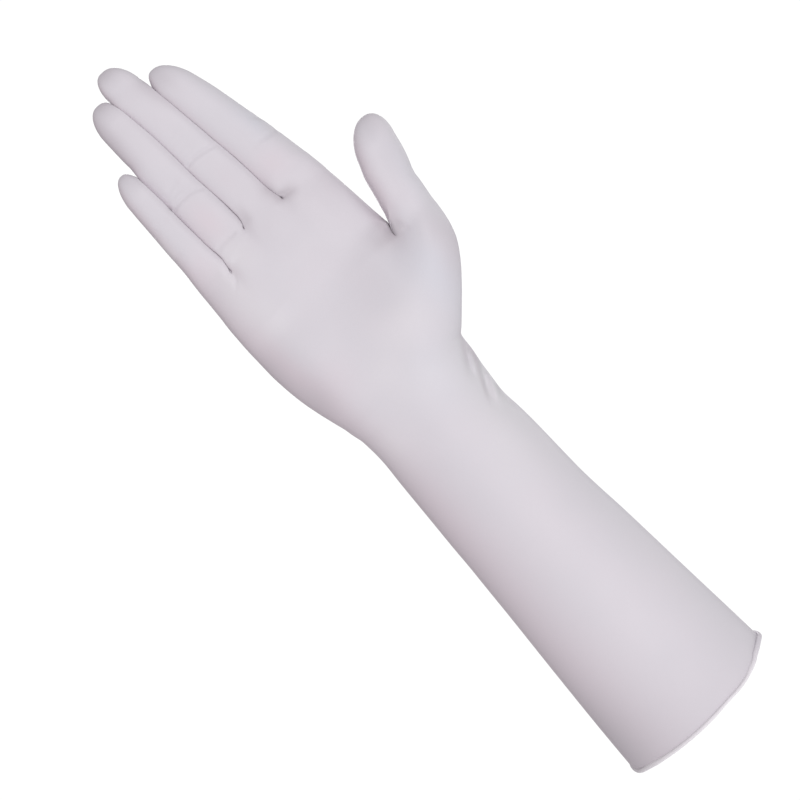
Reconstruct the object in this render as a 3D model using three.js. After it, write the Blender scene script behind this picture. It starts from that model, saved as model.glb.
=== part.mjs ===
import * as THREE from "three";

// An extended-cuff nitrile glove for a right hand, in the form it has when it is worn.
// Millimetres. +Z runs from the cuff to the fingertips, the palm faces -Y, the thumb is on the +X side.
// The origin is the centre of the cuff's mouth, where the hand goes in.
// The glove is one dipped film, so it is one solid: a hollow film with a bead rolled at its edge.

// Driving sizes
const FILM = 1.0; // wall of the modelled film
const BEAD_RADIUS = 1.1; // the rolled edge is a ring of this radius
const BEAD_STAND_OFF = 0.3; // how far the bead's centre line stands outside the film
const RIM_HEIGHT = 3.4; // height of the bead's upper edge over the origin
const RIM_SLOPE_X = 0.075; // the mouth rises by this much for each mm towards the thumb side
const RIM_SLOPE_Y = 0.075; // and by this much for each mm towards the back
const RIM_FADE = 70; // height at which the sections have become level

// The mesh: steps across one digit, along each of its four sides
const STEPS = 4;
const DIGITS = 5;
const FINGERS = 4;

// Rows of numbers with named columns
function table(columns, rows) {
  const names = columns.split(" ");
  return rows.map((row) =>
    Object.fromEntries(names.map((name, i) => [name, row[i]])),
  );
}

// Cross-sections of the sleeve, wrist and hand, up to the web of the thumb.
// ulnar and radial are x at the little-finger and thumb sides, palm and back are y at the thickest place.
const BODY = table("z ulnar radial palm back", [
  [0, -37.7, 37.2, -33.0, 33.0],
  [16, -37.1, 36.1, -32.0, 32.2],
  [48, -35.5, 33.5, -29.4, 29.8],
  [80, -33.6, 30.8, -26.6, 27.2],
  [112, -32.1, 28.6, -23.8, 24.4],
  [130, -31.4, 27.9, -22.3, 22.8],
  [148, -30.6, 26.8, -20.9, 21.0],
  [160, -29.9, 27.7, -20.4, 20.0],
  [170, -30.4, 28.8, -20.6, 19.3],
  [178, -32.1, 29.6, -20.6, 18.8],
  [184, -33.8, 36.3, -20.2, 18.3],
  [192, -36.2, 43.5, -19.6, 17.7],
  [200, -38.1, 49.5, -19.0, 17.1],
  [208, -39.4, 54.0, -18.4, 16.5],
  [216, -40.1, 56.2, -17.8, 15.9],
  [224, -40.2, 57.1, -17.0, 15.2],
]);

// Cross-sections of the palm above the web of the thumb, up to the webs of the fingers
const PALM = table("z ulnar radial palm back", [
  [224, -40.2, 38.0, -17.0, 15.2],
  [232, -40.2, 37.2, -16.4, 14.6],
  [240, -40.1, 36.6, -15.6, 13.9],
  [248, -39.6, 35.9, -14.8, 13.2],
  [256, -39.2, 34.9, -13.6, 12.3],
  [264, -38.7, 34.0, -12.4, 11.4],
  [272, -38.2, 33.0, -11.6, 10.6],
]);

// The digits, from the little finger to the thumb. Above its last row each one closes in a dome.
const DIGIT_TABLES = [
  {
    root: 261,
    tip: { x: -30.5, y: -9.4, z: 317.0 },
    rows: table("z ulnar radial palm back", [
      [264, -38.5, -23.5, -11.0, 7.2],
      [272, -38.1, -23.9, -11.6, 5.6],
      [280, -38.0, -24.3, -12.2, 4.4],
      [290, -37.7, -24.8, -13.2, 2.4],
      [298, -37.3, -25.2, -14.2, 0.4],
      [304.5, -36.9, -25.5, -14.9, -1.4],
    ]),
  },
  {
    root: 266,
    tip: { x: -18.5, y: -6.8, z: 344.7 },
    rows: table("z ulnar radial palm back", [
      [274, -23.5, -6.7, -11.6, 8.2],
      [284, -24.0, -7.1, -11.6, 6.8],
      [294, -24.4, -7.8, -11.6, 6.0],
      [304, -24.9, -8.7, -12.2, 4.4],
      [314, -25.4, -9.5, -12.8, 3.0],
      [324, -25.7, -10.3, -13.3, 1.4],
      [333, -25.6, -11.4, -13.6, 0.0],
    ]),
  },
  {
    root: 268,
    tip: { x: -8.0, y: -5.2, z: 353.9 },
    rows: table("z ulnar radial palm back", [
      [274, -6.3, 10.3, -11.8, 9.0],
      [284, -6.7, 9.3, -11.4, 7.8],
      [294, -7.4, 8.3, -11.0, 7.2],
      [304, -8.2, 7.2, -11.2, 6.2],
      [314, -9.0, 6.0, -11.6, 4.8],
      [324, -9.8, 4.6, -12.0, 3.4],
      [333, -10.8, 3.2, -12.2, 2.1],
      [341, -12.5, 1.9, -12.2, 1.2],
    ]),
  },
  {
    root: 266,
    tip: { x: 8.1, y: -5.8, z: 341.0 },
    rows: table("z ulnar radial palm back", [
      [274, 10.8, 32.9, -11.8, 9.0],
      [284, 9.8, 30.6, -11.4, 7.8],
      [294, 8.8, 28.4, -11.0, 7.0],
      [304, 7.6, 26.0, -11.4, 5.6],
      [314, 6.5, 23.5, -12.0, 4.2],
      [325, 5.0, 20.7, -12.4, 2.2],
    ]),
  },
  {
    root: 228,
    tip: { x: 56.9, y: -17.4, z: 268.0 },
    rows: table("z ulnar radial palm back", [
      [236, 38.8, 58.4, -24.4, -3.4],
      [242, 39.8, 59.7, -24.9, -4.6],
      [248, 41.2, 61.4, -25.5, -6.0],
      [254.5, 43.3, 62.8, -26.1, -7.6],
    ]),
  },
];

// Where the webs meet the palm side: x and z of each fork between two digits
const FORKS = table("x z", [
  [-23.4, 258],
  [-7.0, 267],
  [11.4, 267],
  [37.0, 226.5],
]);
const LITTLE_SIDE = { x: -40, z: 256 }; // the palm ends here on the little finger's side
const INDEX_SIDE = { x: 34, z: 263 }; // and here on the index finger's side
const WEB_ARCH = 1.2; // a web is this much higher at its middle
const CORNER_INSET = 2.8; // from a section's side to the corner where its palm row starts

// Rounded forms that stand out of the palm (negative y) or back, or sink in where the height is negative
const FORMS = [
  { name: "thenar", side: -1, x: 28, z: 206, rx: 17, rz: 25, height: 8.6 },
  { name: "hypothenar", side: -1, x: -27, z: 204, rx: 12, rz: 27, height: 4 },
  { name: "palm_hollow", side: -1, x: 3, z: 228, rx: 14, rz: 19, height: -3.2 },
  { name: "index_knuckle", side: 1, x: 21, z: 249, rx: 7, rz: 9, height: 2.4 },
  { name: "middle_knuckle", side: 1, x: 3, z: 253, rx: 7, rz: 9, height: 2.8 },
  { name: "ring_knuckle", side: 1, x: -14, z: 250, rx: 7, rz: 9, height: 2.4 },
  { name: "little_knuckle", side: 1, x: -30, z: 243, rx: 7, rz: 9, height: 2.0 },
];
const THUMB_FORWARD = { from: 26, to: 56, start: 170, end: 222, shift: 10 };
const HAND_SQUARENESS = 2.3; // superellipse exponent of the hand and digits
const SLEEVE_SQUARENESS = 2.0; // the sleeve is an ellipse

// Numbers
const lerp = (a, b, t) => a + (b - a) * t;
const smooth = (t) => {
  const c = Math.min(1, Math.max(0, t));
  return c * c * (3 - 2 * c);
};
const radians = (degrees) => (degrees * Math.PI) / 180;
const signedPower = (v, p) => Math.sign(v) * Math.abs(v) ** p;

// A row between the rows of a table, by a cubic that doesn't overshoot them
function rowAt(rows, z) {
  const last = rows.length - 1;
  const c = Math.min(rows[last].z, Math.max(rows[0].z, z));
  const above = rows.findIndex((row) => row.z > c);
  const at = above < 0 ? last - 1 : above - 1;
  const height = rows[at + 1].z - rows[at].z;
  const t = (c - rows[at].z) / height;
  const slope = (name, k) =>
    (rows[k + 1][name] - rows[k][name]) / (rows[k + 1].z - rows[k].z);
  const tangent = (name, k) => {
    if (k === 0) return slope(name, 0);
    if (k === last) return slope(name, last - 1);
    const before = slope(name, k - 1);
    const after = slope(name, k);
    return before * after <= 0 ? 0 : (2 * before * after) / (before + after);
  };
  const made = { z: c };
  for (const name of ["ulnar", "radial", "palm", "back"]) {
    const m0 = tangent(name, at) * height;
    const m1 = tangent(name, at + 1) * height;
    const a = rows[at][name];
    const b = rows[at + 1][name];
    made[name] =
      a +
      m0 * t +
      (3 * (b - a) - 2 * m0 - m1) * t ** 2 +
      (m0 + m1 - 2 * (b - a)) * t ** 3;
  }
  return made;
}

// A point of a cross-section at an angle, 0 towards the thumb side and 90 degrees towards the back
function sectionPoint(row, angle, squareness) {
  const power = 2 / squareness;
  const across = signedPower(Math.cos(angle), power);
  const deep = signedPower(Math.sin(angle), power);
  const x = (row.ulnar + row.radial) / 2 + (across * (row.radial - row.ulnar)) / 2;
  const middle = (row.palm + row.back) / 2;
  const y = middle + (deep * (row.back - row.palm)) / 2;
  return new THREE.Vector3(x, y, row.z);
}

// The hand's rounded forms, and the thumb's half of the hand set forward
function addForms(point) {
  const { x, z } = point;
  const { from, to, start, end, shift } = THUMB_FORWARD;
  const towardsPalm = point.y < 0 ? -1 : 1;
  for (const form of FORMS) {
    if (form.side !== towardsPalm) continue;
    const away = ((x - form.x) / form.rx) ** 2 + ((z - form.z) / form.rz) ** 2;
    point.y += form.side * form.height * Math.exp(-away);
  }
  point.y -= shift * smooth((x - from) / (to - from)) * smooth((z - start) / (end - start));
  return point;
}

// Places of the palm row's points: STEPS even steps between the section's corners and the forks
function palmRowPlaces(row, digits) {
  const marks = [row.ulnar + CORNER_INSET];
  for (let f = 0; f < digits - 1; f++) marks.push(FORKS[f].x);
  marks.push(row.radial - CORNER_INSET);
  const places = [];
  for (let k = 0; k < digits; k++)
    for (let s = 0; s < STEPS; s++) places.push(lerp(marks[k], marks[k + 1], s / STEPS));
  places.push(marks[digits]);
  return places;
}

// The angles of a ring of points that has a palm row, a thumb side, a back row and a little-finger side
function handAngles(row, digits) {
  const centre = (row.ulnar + row.radial) / 2;
  const half = (row.radial - row.ulnar) / 2;
  const rowAngles = palmRowPlaces(row, digits).map((x) =>
    Math.acos(signedPower((x - centre) / half, HAND_SQUARENESS / 2)),
  );
  const span = rowAngles.length - 1;
  const angles = [];
  for (let j = 0; j < span; j++) angles.push(-rowAngles[j]);
  for (let s = 0; s < STEPS; s++)
    angles.push(lerp(-rowAngles[span], rowAngles[span], s / STEPS));
  for (let j = span; j > 0; j--) angles.push(rowAngles[j]);
  for (let s = 0; s < STEPS; s++)
    angles.push(lerp(rowAngles[0], 2 * Math.PI - rowAngles[0], s / STEPS));
  return angles;
}

// The outside of the glove as points and four-sided faces
const points = [];
const faces = [];
const addPoint = (point) => points.push(point) - 1;

function addBand(lower, upper) {
  const count = lower.length;
  for (let j = 0; j < count; j++) {
    const k = (j + 1) % count;
    faces.push([lower[j], lower[k], upper[k], upper[j]]);
  }
}

// Sleeve, wrist and hand up to the web of the thumb
const BODY_STEPS = 2 * DIGITS * STEPS + 2 * STEPS;
const BODY_TOP = FORKS[FORKS.length - 1].z - WEB_ARCH;
const BODY_HEIGHTS = [
  RIM_HEIGHT, 12, 27, 44, 61, 79, 97, 114, 128, 139, 149, 158, 166, 173, 178, 184, 190,
  197, 204, 211, 218,
];
const EVEN_START = radians(-165); // where the palm row starts on the even sleeve
const LAYOUT_FADE = { from: 30, to: 205 }; // the even layout turns into the hand's between these heights
const topRow = rowAt(BODY, BODY_TOP);
const topAngles = handAngles(topRow, DIGITS);

function bodyRing(z) {
  const layout = smooth((z - LAYOUT_FADE.from) / (LAYOUT_FADE.to - LAYOUT_FADE.from));
  const squareness = lerp(SLEEVE_SQUARENESS, HAND_SQUARENESS, smooth((z - 150) / 60));
  return topAngles.map((handAngle, j) => {
    const even = EVEN_START + radians((360 * j) / BODY_STEPS);
    const angle = lerp(even, handAngle, layout);
    const flat = sectionPoint(rowAt(BODY, z), angle, squareness);
    const slope = RIM_SLOPE_X * flat.x + RIM_SLOPE_Y * flat.y;
    const rise = slope * (1 - smooth((z - RIM_HEIGHT) / (RIM_FADE - RIM_HEIGHT)));
    const point = sectionPoint(rowAt(BODY, z + rise), angle, squareness);
    point.z = z + rise;
    return addPoint(addForms(point));
  });
}

const bodyRings = [...BODY_HEIGHTS, BODY_TOP].map(bodyRing);
for (let i = 1; i < bodyRings.length; i++) addBand(bodyRings[i - 1], bodyRings[i]);

// The points of a web between a palm point and a back point, without its two ends
function addWeb(palmPoint, backPoint) {
  const web = [];
  for (let s = 1; s < STEPS; s++) {
    const t = s / STEPS;
    const point = points[palmPoint].clone().lerp(points[backPoint], t);
    point.z += WEB_ARCH * 4 * t * (1 - t);
    web.push(addPoint(point));
  }
  return web;
}

// The point of the back row that stands behind a palm row's point
const behind = (ring, digits, j) => ring[2 * digits * STEPS + STEPS - j];

// The ring round one digit of a ring: its share of both rows, and a web or the ring's own side on each side
function digitRing(ring, digits, digit, webs) {
  const first = digit * STEPS;
  const last = first + STEPS;
  const made = [];
  for (let j = first; j <= last; j++) made.push(ring[j]);
  made.push(
    ...(digit === digits - 1
      ? ring.slice(last + 1, last + STEPS)
      : webs[digit]),
  );
  for (let j = last; j >= first; j--) made.push(behind(ring, digits, j));
  made.push(
    ...(digit === 0
      ? ring.slice(ring.length - STEPS + 1)
      : [...webs[digit - 1]].reverse()),
  );
  return made;
}

// The palm, from the web of the thumb to the webs of the fingers
const splitRing = bodyRings[bodyRings.length - 1];
const thumbFork = FINGERS * STEPS;
const thumbWeb = addWeb(splitRing[thumbFork], behind(splitRing, DIGITS, thumbFork));
const palmBase = [
  ...splitRing.slice(0, thumbFork + 1),
  ...thumbWeb,
  ...splitRing.slice(thumbFork + 3 * STEPS),
];

const KNUCKLE_LINE = [
  LITTLE_SIDE,
  ...FORKS.slice(0, FINGERS - 1).map(({ x, z }) => ({ x, z: z - WEB_ARCH })),
  INDEX_SIDE,
];

// Height at which the palm ends, for a place across it
function knuckleHeight(x) {
  const c = Math.min(INDEX_SIDE.x, Math.max(LITTLE_SIDE.x, x));
  const i = KNUCKLE_LINE.findIndex((mark) => mark.x >= c);
  if (i <= 0) return KNUCKLE_LINE[0].z;
  const [a, b] = [KNUCKLE_LINE[i - 1], KNUCKLE_LINE[i]];
  return lerp(a.z, b.z, (c - a.x) / (b.x - a.x));
}

const PALM_STAGES = [0.12, 0.3, 0.5, 0.68, 0.84, 1];
const PALM_SETTLES = 0.3; // share of the palm over which the thumb's web has faded
const FORK_DIP = { depth: 1.6, rx: 2.4, rz: 6 };

// The small valleys that lead into the forks between the fingers, on both sides
function dipAtForks(point) {
  for (const fork of FORKS.slice(0, FINGERS - 1)) {
    const away =
      ((point.x - fork.x) / FORK_DIP.rx) ** 2 + ((point.z - fork.z) / FORK_DIP.rz) ** 2;
    point.y -= Math.sign(point.y) * FORK_DIP.depth * Math.exp(-away);
  }
  return point;
}

const palmEndRow = rowAt(PALM, FORKS[1].z);
const palmAngles = handAngles(palmEndRow, FINGERS);

// A point of the palm, at a stage between the ring at the thumb's web and the webs of the fingers
function palmPoint(base, j, stage) {
  const settled = smooth(stage / PALM_SETTLES);
  const from = points[base];
  const across = sectionPoint(palmEndRow, palmAngles[j], HAND_SQUARENESS).x;
  const z = lerp(from.z, knuckleHeight(across), stage);
  const level = sectionPoint(rowAt(PALM, z), palmAngles[j], HAND_SQUARENESS);
  level.z = z;
  const formed = dipAtForks(addForms(level));
  const x = lerp(from.x, formed.x, settled);
  const y = lerp(from.y, formed.y, settled);
  return new THREE.Vector3(x, y, z);
}

let palmRing = palmBase;
for (const stage of PALM_STAGES) {
  const next = palmBase.map((base, j) => addPoint(palmPoint(base, j, stage)));
  addBand(palmRing, next);
  palmRing = next;
}

// The digits
const DOME_ANGLES = [24, 46].map(radians);
const CAP_ANGLE = radians(68);
const RISES = [2.5, 6, 10.5]; // heights over the root where a digit's ring turns from its base to its section
const RING_SPACING = 9;

// A point of a digit's closing dome, at an angle up the dome and an angle round it
function domePoint(digit, up, round) {
  const start = digit.rows[digit.rows.length - 1];
  const rise = Math.sin(up);
  const x = lerp((start.ulnar + start.radial) / 2, digit.tip.x, rise);
  const y = lerp((start.palm + start.back) / 2, digit.tip.y, rise);
  const halfX = ((start.radial - start.ulnar) / 2) * Math.cos(up);
  const halfY = ((start.back - start.palm) / 2) * Math.cos(up);
  const row = {
    z: lerp(start.z, digit.tip.z, rise),
    ulnar: x - halfX,
    radial: x + halfX,
    palm: y - halfY,
    back: y + halfY,
  };
  return sectionPoint(row, round, HAND_SQUARENESS);
}

// Closes a ring of 4 * STEPS points with a square grid of faces laid over the dome
function closeDome(digit, ring, ringAngle) {
  const inner = [];
  for (let k = 0; k < 2 * STEPS; k++)
    inner.push(addPoint(domePoint(digit, CAP_ANGLE, ringAngle(2 * k))));
  const top = addPoint(domePoint(digit, Math.PI / 2, 0));
  for (let side = 0; side < 4; side++) {
    const corner = side * STEPS;
    const at = (j) => ring[(corner + j + ring.length) % ring.length];
    const within = (k) => inner[(side * 2 + k + inner.length) % inner.length];
    faces.push([at(-1), at(0), at(1), within(0)]);
    faces.push([at(1), at(2), within(1), within(0)]);
    faces.push([at(2), at(3), within(2), within(1)]);
    faces.push([within(0), within(1), top, within(-1)]);
  }
}

function addDigit(digit, base) {
  const ringAngle = (j) => radians(-135 + (360 * j) / base.length);
  const end = digit.rows[digit.rows.length - 1].z;
  const levels = RISES.map((rise) => digit.root + rise);
  const even = Math.max(1, Math.round((end - levels[levels.length - 1]) / RING_SPACING));
  const settledAt = levels[levels.length - 1];
  for (let k = 1; k <= even; k++) levels.push(lerp(settledAt, end, k / even));
  let ring = base;
  for (const z of levels) {
    const settled = smooth((z - digit.root) / (settledAt - digit.root));
    const row = { ...rowAt(digit.rows, z), z };
    const next = base.map((start, j) => {
      const from = points[start].clone();
      from.z += z - digit.root;
      return addPoint(from.lerp(sectionPoint(row, ringAngle(j), HAND_SQUARENESS), settled));
    });
    addBand(ring, next);
    ring = next;
  }
  for (const up of DOME_ANGLES) {
    const next = base.map((_, j) => addPoint(domePoint(digit, up, ringAngle(j))));
    addBand(ring, next);
    ring = next;
  }
  closeDome(digit, ring, ringAngle);
}

const fingerWebs = [1, 2, 3].map((f) =>
  addWeb(palmRing[f * STEPS], behind(palmRing, FINGERS, f * STEPS)),
);
for (let f = 0; f < FINGERS; f++)
  addDigit(DIGIT_TABLES[f], digitRing(palmRing, FINGERS, f, fingerWebs));
addDigit(
  DIGIT_TABLES[FINGERS],
  digitRing(splitRing, DIGITS, FINGERS, [null, null, null, thumbWeb]),
);

// Each face as two triangles
const trianglesOf = (faces) => faces.flatMap(([a, b, c, d]) => [a, b, c, a, c, d]);

// The inside of the film: every outside point moved in by the wall, against its normal
function insidePoints() {
  const outside = new THREE.BufferGeometry().setFromPoints(points);
  outside.setIndex(trianglesOf(faces));
  outside.computeVertexNormals();
  const normal = new THREE.Vector3();
  return points.map((point, i) => {
    normal.fromBufferAttribute(outside.attributes.normal, i);
    return point.clone().addScaledVector(normal, -FILM);
  });
}

// The rolled edge: rings of points round the bead, from the film's outside over the bead to its inside
const BEAD_ANGLES = [70, 30, -10, -50, -90, -130, -168].map(radians);

function addBead(outerRing, innerRing) {
  const count = outerRing.length;
  const outward = outerRing.map((_, j) => {
    const before = points[outerRing[(j + count - 1) % count]];
    const after = points[outerRing[(j + 1) % count]];
    return new THREE.Vector3(after.y - before.y, before.x - after.x, 0).normalize();
  });
  let ring = outerRing;
  for (const angle of BEAD_ANGLES) {
    const next = outerRing.map((start, j) => {
      const point = points[start].clone();
      point.addScaledVector(outward[j], BEAD_STAND_OFF + BEAD_RADIUS * Math.cos(angle));
      point.z += BEAD_RADIUS * (Math.sin(angle) - Math.sin(BEAD_ANGLES[0]));
      return addPoint(point);
    });
    addBand(next, ring);
    ring = next;
  }
  addBand(innerRing, ring);
}

// The whole film as one closed surface
function filmGeometry() {
  const outsideCount = points.length;
  const outsideFaces = faces.slice();
  points.push(...insidePoints());
  for (const face of outsideFaces)
    faces.push(face.map((i) => i + outsideCount).reverse());
  const rim = bodyRings[0];
  addBead(
    rim,
    rim.map((i) => i + outsideCount),
  );
  const geometry = new THREE.BufferGeometry().setFromPoints(points);
  geometry.setIndex(trianglesOf(faces));
  geometry.computeVertexNormals();
  return geometry;
}

const nitrile = new THREE.MeshStandardMaterial({
  color: new THREE.Color().setRGB(0.855, 0.835, 0.86, THREE.SRGBColorSpace),
  roughness: 0.55,
  metalness: 0.0,
});

const glove = new THREE.Group();
const film = new THREE.Mesh(filmGeometry(), nitrile);
film.name = "glove_film";
glove.add(film);

export default glove;
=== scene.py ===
import math

import bpy
import numpy as np
from mathutils import Matrix, Vector


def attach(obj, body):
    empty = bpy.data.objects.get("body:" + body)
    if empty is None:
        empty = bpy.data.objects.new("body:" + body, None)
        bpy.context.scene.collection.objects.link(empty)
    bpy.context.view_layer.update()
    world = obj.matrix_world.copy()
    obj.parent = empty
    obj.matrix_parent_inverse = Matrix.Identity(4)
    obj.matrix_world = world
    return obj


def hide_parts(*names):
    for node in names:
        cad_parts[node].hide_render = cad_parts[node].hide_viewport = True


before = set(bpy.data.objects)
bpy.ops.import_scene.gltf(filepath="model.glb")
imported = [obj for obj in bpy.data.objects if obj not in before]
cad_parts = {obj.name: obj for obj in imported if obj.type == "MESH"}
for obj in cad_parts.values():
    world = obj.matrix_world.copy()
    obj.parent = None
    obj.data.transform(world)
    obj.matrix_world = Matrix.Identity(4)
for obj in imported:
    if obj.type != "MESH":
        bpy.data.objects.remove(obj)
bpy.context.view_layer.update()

MM = 0.001

# Fineness
OUTSIDE_STEPS = 20  # faces across one side of a digit on the outside of the film
INSIDE_STEPS = 10  # and on its inside, which only shows through the mouth
OUTSIDE_SPACING = 1.7
INSIDE_SPACING = 3.4
DIGITS = 5
FINGERS = 4

# The film and its rolled edge
FILM_AT_MOUTH = 0.4
FILM_DEEP = 2.0  # thicker out of sight, so that the folds stay clear of the inside
FILM_THICKENS_OVER = 60.0
RIM_HEIGHT = 2.6
RIM_SLOPE_X = 0.075
RIM_SLOPE_Y = 0.075
RIM_FADE = 70.0
BEAD_HALF_DEPTH = 0.8
BEAD_END = math.radians(-155)
BEAD_POINTS = 20


def table(columns, rows):
    """Rows of numbers with named columns."""
    names = columns.split()
    return {name: np.array([row[i] for row in rows], float) for i, name in enumerate(names)}


def on_side(side, columns, rows):
    """Rows as forms on one side of the hand, with their values named."""
    names = columns.split()
    return [dict(zip(names, row), side=side) for row in rows]


def digit_form(name, root, tip, squareness, rows):
    """A digit: its root's height, its tip, how square its two sides are, and its cross-sections."""
    return dict(name=name, root=root, tip=tip, squareness=squareness, rows=table(SECTION, rows))


PALM_SIDE, BACK_SIDE = -1, 1
SECTION = "z ulnar radial palm back"
# A soft round patch: its centre, how far it reaches across and along, how high it is and, in some rows, its
# turn in degrees and how far it wraps round the edge of the hand
PATCH = "x z across along height turn wrap"
# A line of (x, z) points that sinks in by a depth, or stands out where the depth is negative. Left and right
# are how far its walls reach on either side, going along it. Begin and end are the share of its length
# that it takes to grow to its depth and to fade away.
CREASE = "depth left right begin end line"

# The rolled bead, by the angle round the mouth: 0 on the thumb's side, -90 on the palm's. How much the edge
# rises off its plane, the roll's half height, how far it stands proud, how deep the groove above it is and
# how pale it looks.
ROLL = table("angle rise half_height proud groove pale", [
    (-180, -1, 0.85, 0.5, 0.05, 0.5),
    (-168, -1.1, 0.9, 0.6, 0.35, 0.6),
    (-160, -0.6, 0.95, 0.6, 0.4, 0.7),
    (-152, -0.1, 1, 0.6, 0.2, 0.7),
    (-146, 0.1, 1, 0.6, 0.2, 0.7),
    (-133, 0.2, 0.82, 0.7, 0.35, 0.8),
    (-118, 0.1, 0.77, 0.8, 0.45, 0.7),
    (-104, -0.05, 0.75, 0.8, 0.45, 0.7),
    (-90, -0.15, 0.75, 0.8, 0.45, 0.7),
    (-76, -0.25, 0.65, 0.8, 0.45, 0.7),
    (-62, -0.85, 0.66, 0.8, 0.45, 0.7),
    (-54, -0.95, 0.67, 0.8, 0.35, 0.7),
    (-46, -0.6, 0.85, 0.9, 0.05, 0.7),
    (-38, 0, 0.95, 1, 0.15, 0.5),
    (-33, 0.75, 1.1, 1.1, 0.3, 0.3),
    (-22, 0.9, 1.15, 1.3, 0.15, 0),
    (-14, 0.4, 1.1, 1.4, 0.1, 0),
    (-7, -0.4, 1.05, 1.4, 0.1, 0),
    (0, -1, 1, 1.4, 0.1, 0),
    (40, 0, 0.9, 1, 0.2, 0.6),
    (90, 0, 0.8, 0.8, 0.3, 0.8),
    (140, -0.3, 0.8, 0.6, 0.2, 0.8),
    (180, -1, 0.85, 0.5, 0.05, 0.5),
])

# Cross-sections of the sleeve, wrist and hand, up to the web of the thumb
BODY = table(SECTION, [
    (-2, -37.65, 37.3, -33.1, 33.1),
    (16, -36.95, 35.95, -32, 32.2),
    (48, -35.25, 33.35, -29.4, 29.8),
    (80, -33.35, 30.8, -26.6, 27.2),
    (94, -32.65, 29.4, -25.3, 26),
    (104, -32.1, 28.65, -24.4, 25.1),
    (112, -31.85, 28.4, -23.8, 24.4),
    (130, -31, 27.85, -22.3, 22.8),
    (139, -30.6, 27.3, -21.6, 21.9),
    (148, -30.15, 26.5, -20.9, 21),
    (160, -29.5, 27.45, -20.4, 20),
    (170, -30.05, 28.7, -20.6, 19.3),
    (176.5, -31.55, 29.2, -20.6, 18.9),
    (179, -32.05, 31.5, -20.5, 18.75),
    (184, -33.55, 36.15, -20.2, 18.3),
    (192, -35.85, 43.3, -19.6, 17.7),
    (200, -37.75, 49.6, -19, 17.1),
    (208, -39, 54.15, -18.4, 16.5),
    (216, -39.75, 56.2, -17.8, 15.9),
    (224, -39.95, 57.1, -17, 15.2),
    (228, -40, 57.5, -16.7, 14.9),
])

# Cross-sections of the palm above the web of the thumb, up to the webs of the fingers
PALM = table(SECTION, [
    (224, -40.15, 40.6, -17, 15.2),
    (228, -40.12, 39.9, -16.7, 14.9),
    (230.5, -40.11, 38.8, -16.5, 14.7),
    (231.6, -40.1, 37.9, -16.4, 14.6),
    (233.1, -40.07, 37.37, -16.3, 14.5),
    (234.6, -40.03, 37, -16.1, 14.35),
    (240, -39.9, 36.35, -15.6, 13.9),
    (248, -39.35, 35.55, -14.8, 13.2),
    (256, -38.95, 34.7, -13.6, 12.3),
    (264, -38.4, 33.7, -12.4, 11.4),
    (272, -37.95, 32.5, -11.6, 10.6),
])

# The digits, from the little finger to the thumb. Above its last row each one closes in a round tip.
DIGIT_FORMS = [
    digit_form("little", 261, (-30.45, -4.6, 317.2), (2.7, 2.9), [
        (264, -38.2, -23.4, -11, 7.2),
        (272, -37.85, -23.8, -11.6, 5.6),
        (280, -37.75, -24.2, -12.2, 4.4),
        (290, -37.4, -24.7, -13.2, 2.4),
        (298, -37.15, -25.1, -14.2, 0.4),
        (304.5, -36.9, -25.65, -14.6, -1.4),
    ]),
    digit_form("ring", 266, (-18.5, -2.2, 345.3), (2.9, 2.9), [
        (274, -23.7, -6.5, -11.6, 8.2),
        (284, -24.2, -6.9, -11.6, 6.8),
        (294, -24.6, -7.6, -11.6, 6),
        (304, -25, -8.5, -12.2, 4.4),
        (314, -25.3, -9.3, -12.8, 3),
        (319, -25.75, -9.7, -13.1, 2.2),
        (324, -25.9, -10.1, -13.3, 1.4),
        (332, -26, -11, -12.9, 0),
    ]),
    digit_form("middle", 268, (-7.9, -1.0, 354.45), (3.8, 2.9), [
        (274, -6.5, 10.5, -11.8, 9),
        (284, -6.9, 9.5, -11.4, 7.8),
        (294, -7.6, 8.5, -11, 7.2),
        (304, -8.4, 7.4, -11.2, 6.2),
        (314, -9.2, 6.2, -11.6, 4.8),
        (324, -10, 4.8, -12, 3.4),
        (333, -11, 3.3, -12.2, 2.1),
        (342.5, -13.4, 1.7, -11.3, 1.1),
    ]),
    digit_form("index", 266, (8.05, -1.0, 341.65), (2.9, 2.3), [
        (274, 10.6, 32.3, -11.8, 9),
        (284, 9.6, 30.4, -11.4, 7.8),
        (294, 8.6, 28.4, -11, 7),
        (304, 7.4, 25.85, -11.4, 5.6),
        (314, 6.3, 23.5, -12, 4.2),
        (320, 5.45, 21.97, -12.3, 3.2),
        (327.5, 4.5, 19.67, -12.4, 1.8),
    ]),
    digit_form("thumb", 225.5, (57.4, -12.4, 268.3), (2.8, 2.5), [
        (228, 36.9, 58, -24, -2.8),
        (231, 38, 58.22, -24.2, -3),
        (233.5, 38.5, 58.2, -24.3, -3.2),
        (236, 38.95, 58.22, -24.4, -3.4),
        (239, 39.65, 58.75, -24.6, -4),
        (242.7, 40.45, 60.1, -25, -4.8),
        (248.5, 41.6, 61.75, -25.5, -6.1),
        (254.5, 43.85, 62.9, -25.6, -7.6),
    ]),
]

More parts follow.
